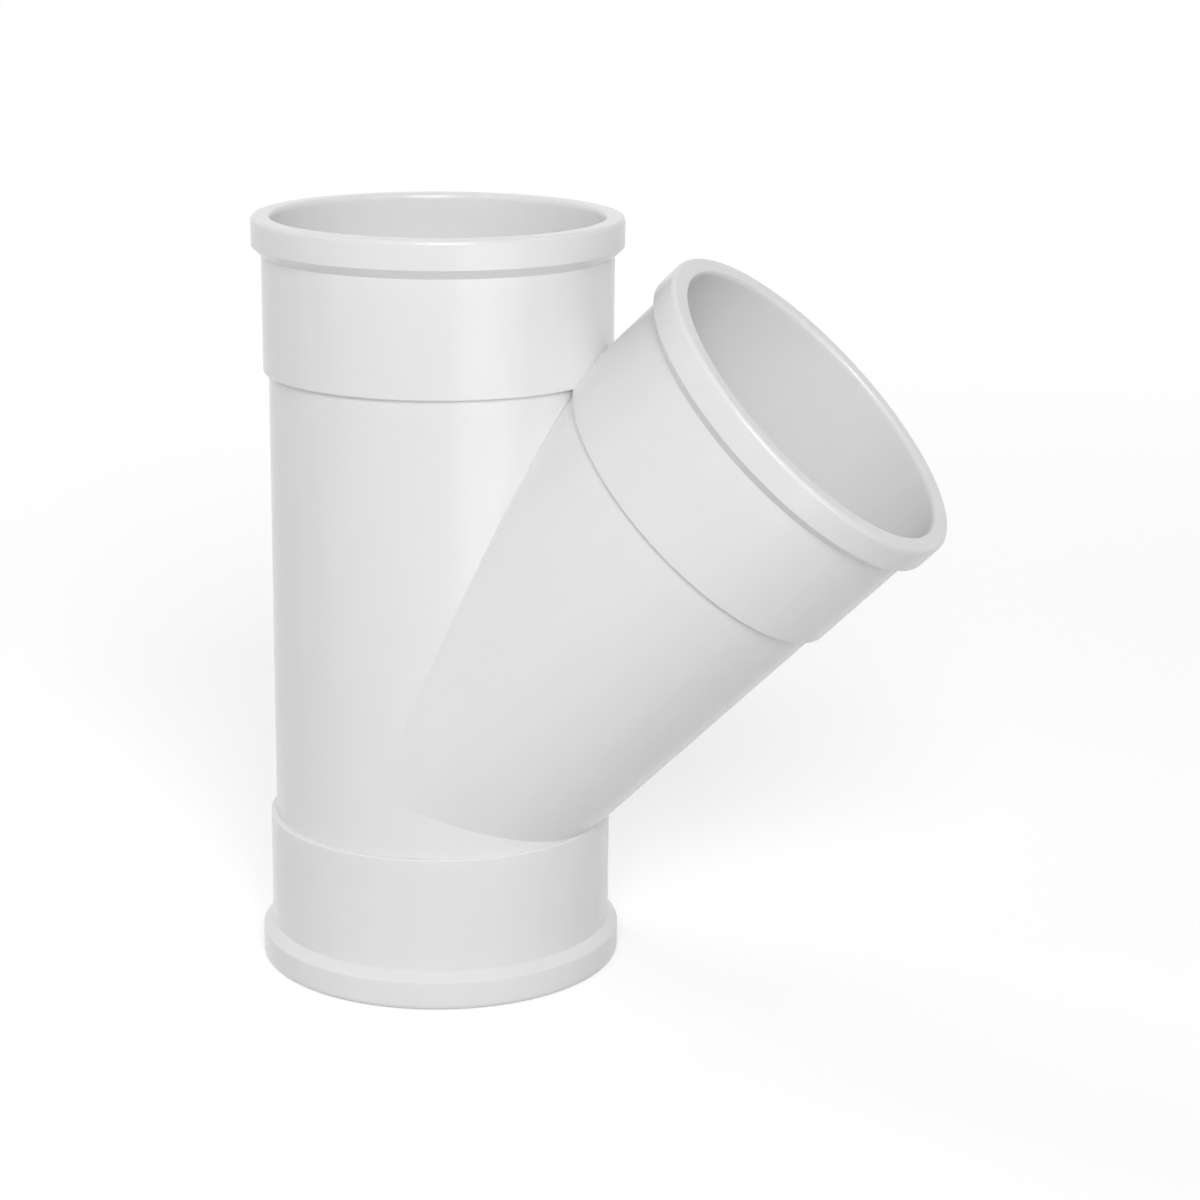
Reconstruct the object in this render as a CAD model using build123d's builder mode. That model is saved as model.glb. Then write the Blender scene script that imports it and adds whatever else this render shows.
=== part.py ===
"""Lateral wye for 110 mm soil and waste pipe: one moulding with three solvent-weld sockets.

The run stands upright on its lower mouth, and the branch leaves it at 45 degrees towards +X.
The origin is the centre of the lower mouth, so the run's axis is the Z axis.
"""

from build123d import *

import os
from math import cos, radians, sin

# Sockets: what a 110 mm pipe's end slides into
socket_bore_d = 110.4  # nominal 110 mm pipe with 0.4 mm of room for cement
socket_depth = 48.0  # mouth to pipe stop
mouth_ease_width = 1.0  # the mouth opens by this much all round, to lead the pipe in
mouth_ease_depth = 2.0  # and narrows to the bore over this height

# Walls
wall = 3.2  # the same in the sockets and the barrels
stop_ledge = 1.9  # width of the ring that the pipe's end stops against
stop_backing = 3.4  # how far the socket's sleeve runs on behind the stop

# Lip round each mouth
lip_height = 9.5
lip_proud = 3.3  # how far it stands out from the sleeve
lip_bevel = 3.2  # height of its sloping underside
lip_round_width = 1.2  # curve of its outer edge at the mouth
lip_round_height = 1.5
shoulder_break = 0.4  # bevel where the sleeve steps down to the barrel

# Laying lengths: junction of the axes to each pipe stop
lower_lay = 25.0
upper_lay = 135.0
branch_lay = 135.0
branch_angle = 45.0  # between the branch and the upper end of the run

# Radii, from the bore outwards
socket_r = socket_bore_d / 2
waterway_r = socket_r - stop_ledge
barrel_r = waterway_r + wall
sleeve_r = socket_r + wall
lip_r = sleeve_r + lip_proud

# Reach of each arm, from the junction of the axes to its mouth
lower_reach = lower_lay + socket_depth
upper_reach = upper_lay + socket_depth
branch_reach = branch_lay + socket_depth
sleeve_length = socket_depth + stop_backing

junction = Vector(0, 0, lower_reach)
up = Vector(0, 0, 1)
down = Vector(0, 0, -1)
along_branch = Vector(sin(radians(branch_angle)), 0, cos(radians(branch_angle)))
arms = [(up, upper_reach), (down, lower_reach), (along_branch, branch_reach)]


def section_plane(direction):
    """Plane through an arm's axis: local Y runs along the arm and local X is its radius."""
    across = direction.cross(Vector(0, 1, 0))
    return Plane(origin=junction, x_dir=across, z_dir=across.cross(direction))


def outer_profile(reach):
    """Half-section of an arm's outside: barrel, shoulder, sleeve, bevel and lip."""
    shoulder = reach - sleeve_length
    lip_foot = reach - lip_height
    round_foot = reach - lip_round_height
    rim_r = lip_r - lip_round_width
    with BuildLine() as outline:
        Polyline(
            (0, reach),
            (0, 0),
            (barrel_r, 0),
            (barrel_r, shoulder),
            (sleeve_r - shoulder_break, shoulder),
            (sleeve_r, shoulder + shoulder_break),
            (sleeve_r, lip_foot - lip_bevel),
            (lip_r, lip_foot),
            (lip_r, round_foot),
        )
        EllipticalCenterArc(
            (rim_r, round_foot), lip_round_width, lip_round_height, start_angle=0, arc_size=90
        )
        Line((rim_r, reach), (0, reach))
    make_face(outline.edges())

def inner_profile(reach):
    """Half-section of an arm's inside: waterway, pipe stop, socket bore and eased mouth."""
    stop = reach - socket_depth
    bore_end = reach - mouth_ease_depth
    mouth_r = socket_r + mouth_ease_width
    with BuildLine() as outline:
        Polyline(
            (0, reach),
            (0, 0),
            (waterway_r, 0),
            (waterway_r, stop),
            (socket_r, stop),
            (socket_r, bore_end),
        )
        EllipticalCenterArc(
            (mouth_r, bore_end), mouth_ease_width, mouth_ease_depth, start_angle=90, arc_size=90
        )
        Line((mouth_r, reach), (0, reach))
    make_face(outline.edges())

with BuildPart() as wye_body:
    for direction, reach in arms:
        with BuildSketch(section_plane(direction)):
            outer_profile(reach)
        revolve(axis=Axis(junction, direction))
    for direction, reach in arms:
        with BuildSketch(section_plane(direction)):
            inner_profile(reach)
        revolve(axis=Axis(junction, direction), mode=Mode.SUBTRACT)

wye_body.part.label = "wye_body"
os.makedirs("parts", exist_ok=True)
export_step(wye_body.part, "parts/wye_body.step")
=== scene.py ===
"""Looks of the lateral wye: white moulded PVC on a white sweep, lit by soft studio lamps."""

import math
from collections import namedtuple

import bpy
from mathutils import Matrix, Vector

# Camera, in metres and degrees. Its pose is the photograph's viewing angle.
CAMERA_DISTANCE = 0.9864  # from the run's axis, over the ground
CAMERA_HEIGHT = 0.3862
CAMERA_AZIMUTH = 21.88
CAMERA_PAN = -3.17
CAMERA_PITCH = 14.85
CAMERA_ROLL = 0.58
CLIP_NEAR, CLIP_FAR = 0.05, 50
SENSOR_WIDTH, FOCAL_LENGTH = 36.0, 89.694  # millimetres

# Studio. Azimuths are degrees to the right of the camera, seen from the object. Powers were
# fitted to the photograph's tones.
Lamp = namedtuple("Lamp", "name azimuth elevation distance width height watts")
FRONT_BOX = Lamp("front_box", 4, 28, 2.5, 1.2, 1.2, 37.0)
OTHER_BOXES = (
    Lamp("over_box", 0, 89, 2.5, 1.6, 1.6, 1.5),
    Lamp("left_box", -90, 20, 2.5, 1.4, 1.4, 5.5),
    Lamp("back_left_box", -135, 30, 2.5, 1.4, 1.4, 13.5),
    Lamp("back_box", 180, 15, 2.5, 1.4, 1.4, 6.0),
    Lamp("back_right_box", 135, 30, 2.5, 1.4, 1.4, 6.5),
)
STRIP = Lamp("gloss_strip", 27, 0, 0.3, 0.18, 0.25, 0.22)  # seen only in the gloss
LIT_POINT = Vector((0.0, 0.0, 0.13))  # what the boxes face, about half-way up the run
WHITE = 1.0  # strength of the backdrop, where it is seen
FILL = 0.28  # the even light of the room
FLOOR_SIZE = 14.0
FLOOR_BOUNCE = 0.62  # how pale the floor is to the light that it sends back up
FLOOR_PALE = 0.9  # how pale it looks
FLOOR_LIFT = 0.31  # added to how it looks, so that it is white where no shadow falls
FADE_FROM, FADE_TO = 0.45, 1.4  # metres from the object where the floor turns plain white

# Plastic. Lengths are in metres, and the arms' places are the part's own dimensions.
PLASTIC_WHITE = (0.858, 0.861, 0.858)
PLASTIC_SHADE = (0.825, 0.829, 0.827)
PLASTIC_IOR = 1.53
PLASTIC_GLOSS = 0.35  # specular level, where 0.5 is what the IOR gives by itself
# Roughness of the most and the least polished places. Renders came out blotchy when this
# range lay across about 0.274.
SMOOTH, SATIN = 0.19, 0.255
GLOW_WEIGHT = 0.2  # light that goes into the wall and comes out nearby
GLOW_REACH = 0.004
MOTTLE_SIZE = 0.06
MOTTLE_FROM, MOTTLE_TO = 0.3, 1.2  # the noise that goes from white to shade
FLOW_IN_MOTTLE = 0.5
POLISH_SIZE = 0.018
POLISH_FROM, POLISH_TO = 0.2, 0.8
FLOW_IN_POLISH = 0.3
FLOW_SIZE = 0.006  # across the flow marks, which run along each arm
FLOW_SQUEEZE = 0.12  # how much the pattern's coordinate is shortened along the arm
PEEL_SIZE = 0.0016
FLOW_HEIGHT = 0.000018
PEEL_HEIGHT = 0.000002
RUN_AXIS = (0.0, 0.0, 1.0)
BRANCH_ANGLE = math.radians(45)
BRANCH_AXIS = (math.sin(BRANCH_ANGLE), 0.0, math.cos(BRANCH_ANGLE))
BRANCH_ROOT = (0.0, 0.0, 0.073)  # where the two axes cross
BARREL_RADIUS = 0.0565
CREASE_SHADE_WIDTH = 0.00035  # painted shade: the dark line in the crease where the branch runs into the barrel
CREASE_SHADE_FADES, CREASE_SHADE_FULL = 0.178, 0.2  # heights between which the painted shade comes up to its full depth
# colour of the painted shade in the crease
CREASE_SHADE_COLOUR = (0.6, 0.6, 0.6)

# Places of the Mix node's sockets, which share their names.
VECTOR_A, VECTOR_B, VECTOR_RESULT = 4, 5, 1
COLOUR_A, COLOUR_B, COLOUR_RESULT = 6, 7, 2


def camera_rotation():
    """The camera's turn: heading, then pitch, then roll."""
    heading = math.radians(CAMERA_AZIMUTH + CAMERA_PAN)
    pitch = math.radians(CAMERA_PITCH)
    level = math.cos(pitch)
    forward = Vector((-math.sin(heading) * level, math.cos(heading) * level, -math.sin(pitch)))
    right = Vector((math.cos(heading), math.sin(heading), 0))
    up = right.cross(forward)
    turn = Matrix((right, up, -forward)).transposed()
    return turn.to_4x4() @ Matrix.Rotation(math.radians(CAMERA_ROLL), 4, "Z")


def around(azimuth, elevation, distance):
    """A place round the run's axis, by its azimuth from the camera's side."""
    a, e = math.radians(CAMERA_AZIMUTH + azimuth), math.radians(elevation)
    flat = distance * math.cos(e)
    return Vector((flat * math.sin(a), -flat * math.cos(a), distance * math.sin(e)))


def make_camera():
    """A long lens in front of the fitting, looking slightly down on it."""
    data = bpy.data.cameras.new("camera")
    data.sensor_width, data.lens = SENSOR_WIDTH, FOCAL_LENGTH
    data.clip_start, data.clip_end = CLIP_NEAR, CLIP_FAR
    cam = bpy.data.objects.new("camera", data)
    place = around(0, 0, CAMERA_DISTANCE) + Vector((0, 0, CAMERA_HEIGHT))
    cam.matrix_world = Matrix.Translation(place) @ camera_rotation()
    bpy.context.scene.collection.objects.link(cam)
    bpy.context.scene.camera = cam


def area_lamp(lamp, target):
    """A soft box that stands round a point and faces it."""
    place = target + around(lamp.azimuth, lamp.elevation, lamp.distance)
    data = bpy.data.lights.new(lamp.name, "AREA")
    data.shape = "RECTANGLE"
    data.size, data.size_y = lamp.width, lamp.height
    data.energy = lamp.watts
    box = bpy.data.objects.new(lamp.name, data)
    box.location = place
    box.rotation_mode = "QUATERNION"
    box.rotation_quaternion = (target - place).to_track_quat("-Z", "Y")
    box.visible_camera = False
    bpy.context.scene.collection.objects.link(box)
    return box


def make_lamps():
    """Large boxes for an even light, and an upright strip for the gloss on the run."""
    area_lamp(FRONT_BOX, LIT_POINT)
    for lamp in OTHER_BOXES:
        area_lamp(lamp, LIT_POINT).visible_glossy = False  # or the flat rims mirror them
    strip = area_lamp(STRIP, Vector((0, 0, STRIP.height / 2)))
    strip.visible_diffuse = False
    strip.visible_transmission = False


def grey(level):
    """A grey as a shader's colour."""
    return (level, level, level, 1)


class Tree:
    """Short calls for building a node tree."""

    def __init__(self, owner):
        owner.use_nodes = True
        self.nodes, self.links = owner.node_tree.nodes, owner.node_tree.links
        self.nodes.clear()

    def add(self, kind, **settings):
        """A new shader node with some of its properties set."""
        node = self.nodes.new("ShaderNode" + kind)
        for key, value in settings.items():
            setattr(node, key, value)
        return node

    def join(self, source, target):
        """Link one socket to another."""
        self.links.new(source, target)

    def wire(self, node, values):
        """Fill a node's first sockets from other sockets or from plain values."""
        for socket, value in zip(node.inputs, values):
            if isinstance(value, bpy.types.NodeSocket):
                self.join(value, socket)
            else:
                socket.default_value = value
        return node

    def maths(self, operation, *values):
        """The result of a maths node."""
        return self.wire(self.add("Math", operation=operation), values).outputs[0]

    def vector(self, operation, *values):
        """The result of a vector maths node that gives a vector."""
        return self.wire(self.add("VectorMath", operation=operation), values).outputs["Vector"]

    def measure(self, operation, *values):
        """The result of a vector maths node that gives a number."""
        return self.wire(self.add("VectorMath", operation=operation), values).outputs["Value"]

    def noise(self, place, size, detail):
        """Soft noise with features of about a given size in metres."""
        node = self.add("TexNoise")
        self.join(place, node.inputs["Vector"])
        node.inputs["Scale"].default_value = 1 / size
        node.inputs["Detail"].default_value = detail
        return node.outputs["Fac"]

    def ramp(self, value, start, end, low=0.0, high=1.0):
        """Bring a value from one range to another, with its ends held."""
        return self.wire(self.add("MapRange"), (value, start, end, low, high)).outputs[0]

    def blend(self, factor, first, second):
        """A colour between two others, each a socket or a plain RGB."""
        node = self.add("Mix", data_type="RGBA")
        self.join(factor, node.inputs["Factor"])
        for index, colour in ((COLOUR_A, first), (COLOUR_B, second)):
            if isinstance(colour, bpy.types.NodeSocket):
                self.join(colour, node.inputs[index])
            else:
                node.inputs[index].default_value = (*colour, 1)
        return node.outputs[COLOUR_RESULT]

    def seen(self):
        """1 for camera, glossy and transmission rays, 0 for the light itself."""
        path = self.add("LightPath").outputs
        glossy_or_clear = self.maths("MAXIMUM", path["Is Glossy Ray"], path["Is Transmission Ray"])
        return self.maths("MAXIMUM", path["Is Camera Ray"], glossy_or_clear)

    def mix(self, factor, first, second):
        """A mix of two shaders."""
        return self.wire(self.add("MixShader"), (factor, first, second)).outputs[0]

    def glow(self, kind, strength):
        """A plain white Background or Emission shader."""
        node = self.add(kind)
        node.inputs["Color"].default_value = grey(1)
        node.inputs["Strength"].default_value = strength
        return node.outputs[0]

    def paper(self, level):
        """A matt grey."""
        node = self.add("BsdfDiffuse")
        node.inputs["Color"].default_value = grey(level)
        return node.outputs[0]

    def finish(self, kind, surface):
        """Join a shader to the tree's output."""
        self.join(surface, self.add(kind).inputs["Surface"])


def make_world():
    """Even soft fill, with a white backdrop for the rays that show it."""
    world = bpy.data.worlds.new("studio")
    bpy.context.scene.world = world
    tree = Tree(world)
    fill, white = tree.glow("Background", FILL), tree.glow("Background", WHITE)
    tree.finish("OutputWorld", tree.mix(tree.seen(), fill, white))


def floor_material():
    """Pale paper that keeps the object's shadow near it and runs out to plain white."""
    mat = bpy.data.materials.new("floor_paper")
    tree = Tree(mat)
    shown = tree.wire(
        tree.add("AddShader"), (tree.paper(FLOOR_PALE), tree.glow("Emission", FLOOR_LIFT))
    )
    away = tree.measure("LENGTH", tree.add("TexCoord").outputs["Object"])
    fade = tree.wire(
        tree.add("MapRange", interpolation_type="SMOOTHSTEP"), (away, FADE_FROM, FADE_TO)
    )
    backdrop = tree.mix(fade.outputs[0], shown.outputs[0], tree.glow("Emission", WHITE))
    tree.finish("OutputMaterial", tree.mix(tree.seen(), tree.paper(FLOOR_BOUNCE), backdrop))
    return mat


def make_floor():
    """A flat floor under the lower mouth."""
    half = FLOOR_SIZE / 2
    mesh = bpy.data.meshes.new("floor")
    corners = [(-half, -half, 0), (half, -half, 0), (half, half, 0), (-half, half, 0)]
    mesh.from_pydata(corners, [], [(0, 1, 2, 3)])
    mesh.materials.append(floor_material())
    floor = bpy.data.objects.new("floor", mesh)
    bpy.context.scene.collection.objects.link(floor)


def off_axis(tree, place, axis):
    """How far a point is from an arm's axis. Both axes pass through the branch's root."""
    from_root = tree.vector("SUBTRACT", place, BRANCH_ROOT)
    return tree.measure("LENGTH", tree.vector("CROSS_PRODUCT", from_root, axis))


def along_flow(tree, place):
    """Coordinates drawn out along whichever arm a point belongs to."""
    off_run, off_branch = off_axis(tree, place, RUN_AXIS), off_axis(tree, place, BRANCH_AXIS)
    nearest = tree.add("Mix", data_type="VECTOR")
    tree.join(tree.maths("LESS_THAN", off_branch, off_run), nearest.inputs["Factor"])
    nearest.inputs[VECTOR_A].default_value = RUN_AXIS
    nearest.inputs[VECTOR_B].default_value = BRANCH_AXIS
    axis = nearest.outputs[VECTOR_RESULT]
    along = tree.measure("DOT_PRODUCT", place, axis)
    shift = tree.add("VectorMath", operation="SCALE")
    tree.join(axis, shift.inputs[0])
    tree.join(tree.maths("MULTIPLY", along, FLOW_SQUEEZE - 1), shift.inputs["Scale"])
    return tree.vector("ADD", place, shift.outputs[0])


def painted_crease_shade(tree, place):
    """Painted shade: 1 on the upper end of the crease where the two barrels meet."""
    off_barrels = [
        tree.maths("ABSOLUTE", tree.maths("SUBTRACT", off_axis(tree, place, axis), BARREL_RADIUS))
        for axis in (RUN_AXIS, BRANCH_AXIS)
    ]
    height = tree.add("SeparateXYZ")
    tree.join(place, height.inputs[0])
    near = tree.ramp(tree.maths("MAXIMUM", *off_barrels), 0.0, CREASE_SHADE_WIDTH, 1.0, 0.0)
    return tree.maths("MULTIPLY", near, tree.ramp(height.outputs["Z"], CREASE_SHADE_FADES, CREASE_SHADE_FULL))


def plastic_colour(tree, place, flow):
    """An even white with the faintest mottle, and a darker line of painted shade in the crease."""
    mottle = tree.noise(place, MOTTLE_SIZE, 1)
    stain = tree.maths("ADD", mottle, tree.maths("MULTIPLY", flow, FLOW_IN_MOTTLE))
    stain = tree.ramp(stain, MOTTLE_FROM, MOTTLE_TO)
    plain = tree.blend(stain, PLASTIC_WHITE, PLASTIC_SHADE)
    # painted shade darkens the colour along the crease between the barrels
    return tree.blend(painted_crease_shade(tree, place), plain, CREASE_SHADE_COLOUR)


def plastic_roughness(tree, place, flow):
    """A satin skin that the mould polished more in some places than in others."""
    polish = tree.maths("MULTIPLY", tree.noise(place, POLISH_SIZE, 1), 1 - FLOW_IN_POLISH)
    skin = tree.maths("ADD", polish, tree.maths("MULTIPLY", flow, FLOW_IN_POLISH))
    return tree.ramp(skin, POLISH_FROM, POLISH_TO, SMOOTH, SATIN)


def plastic_bump(tree, place, flow):
    """Fine flow marks, with a much finer unevenness on them."""
    peel = tree.noise(place, PEEL_SIZE, 0)
    bump = tree.add("Bump")
    bump.inputs["Strength"].default_value = 1.0
    bump.inputs["Distance"].default_value = FLOW_HEIGHT
    height = tree.maths("MULTIPLY_ADD", peel, PEEL_HEIGHT / FLOW_HEIGHT, flow)
    tree.join(height, bump.inputs["Height"])
    return bump.outputs["Normal"]


def white_plastic():
    """Moulded white PVC, glossy and a little translucent."""
    mat = bpy.data.materials.new("white_pvc")
    tree = Tree(mat)
    place = tree.add("TexCoord").outputs["Object"]
    flow = tree.noise(along_flow(tree, place), FLOW_SIZE, 0)
    bsdf = tree.add("BsdfPrincipled")
    bsdf.inputs["IOR"].default_value = PLASTIC_IOR
    bsdf.inputs["Specular IOR Level"].default_value = PLASTIC_GLOSS
    bsdf.inputs["Subsurface Weight"].default_value = GLOW_WEIGHT
    bsdf.inputs["Subsurface Radius"].default_value = (1, 1, 1)
    bsdf.inputs["Subsurface Scale"].default_value = GLOW_REACH
    tree.join(plastic_colour(tree, place, flow), bsdf.inputs["Base Color"])
    tree.join(plastic_roughness(tree, place, flow), bsdf.inputs["Roughness"])
    tree.join(plastic_bump(tree, place, flow), bsdf.inputs["Normal"])
    tree.finish("OutputMaterial", bsdf.outputs[0])
    return mat


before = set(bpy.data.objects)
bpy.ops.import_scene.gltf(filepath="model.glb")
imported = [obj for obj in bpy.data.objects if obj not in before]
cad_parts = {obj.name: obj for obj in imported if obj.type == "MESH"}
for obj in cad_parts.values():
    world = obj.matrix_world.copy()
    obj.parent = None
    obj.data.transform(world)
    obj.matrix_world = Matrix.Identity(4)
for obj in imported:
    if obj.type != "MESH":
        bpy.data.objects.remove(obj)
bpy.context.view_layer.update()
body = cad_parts["wye_body"]
plastic = white_plastic()
for material_slot in body.material_slots:
    material_slot.material = plastic
make_camera()
make_world()
make_floor()
make_lamps()
bpy.context.scene.view_settings.view_transform = "Standard"
